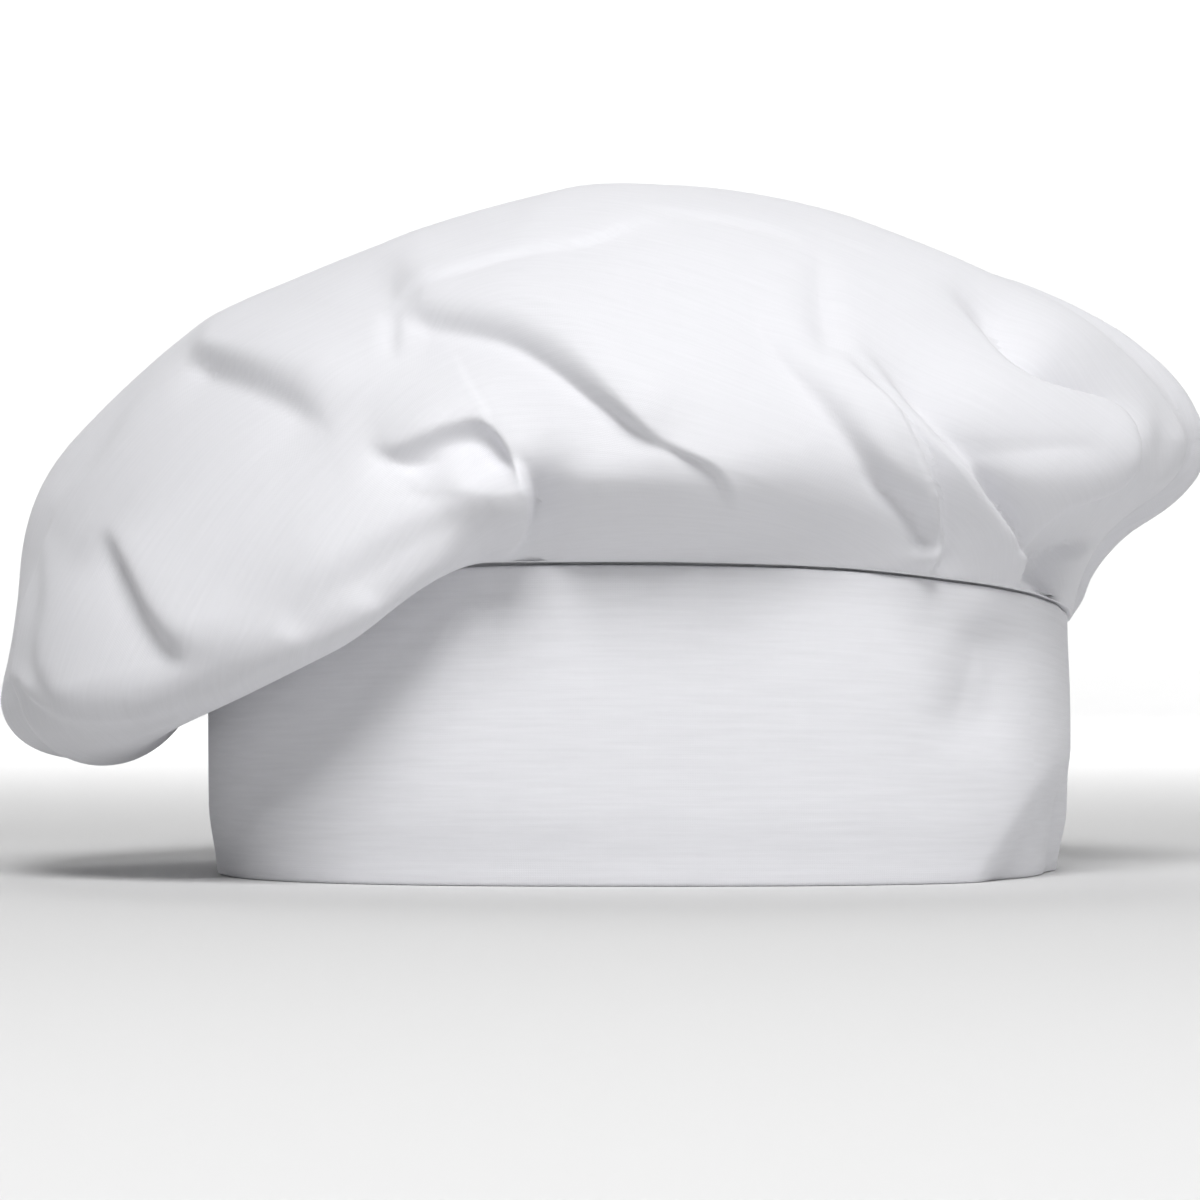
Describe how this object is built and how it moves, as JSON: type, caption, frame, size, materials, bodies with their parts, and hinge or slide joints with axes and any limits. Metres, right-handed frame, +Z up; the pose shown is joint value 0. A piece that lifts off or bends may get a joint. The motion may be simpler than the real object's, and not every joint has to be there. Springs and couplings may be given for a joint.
{
  "type": "chef hat",
  "caption": "Floppy white cotton chef's hat: a full pleated crown slumped over one side of a plain upright head band.",
  "frame": {"origin": "under the middle of the hat's bounding box, in the plane of the rim it stands on", "axes": "+Z up; the front faces -Y; +X is to the right as seen from the front, so the crown slumps towards -X"},
  "size_m": [0.2786, 0.2334, 0.16],
  "materials": {
    "band_cotton": "matte plain weave",
    "crown_cotton": "matte plain weave"
  },
  "bodies": {
    "root": {"band": "band_cotton", "crown": "crown_cotton"}
  },
  "joints": []
}
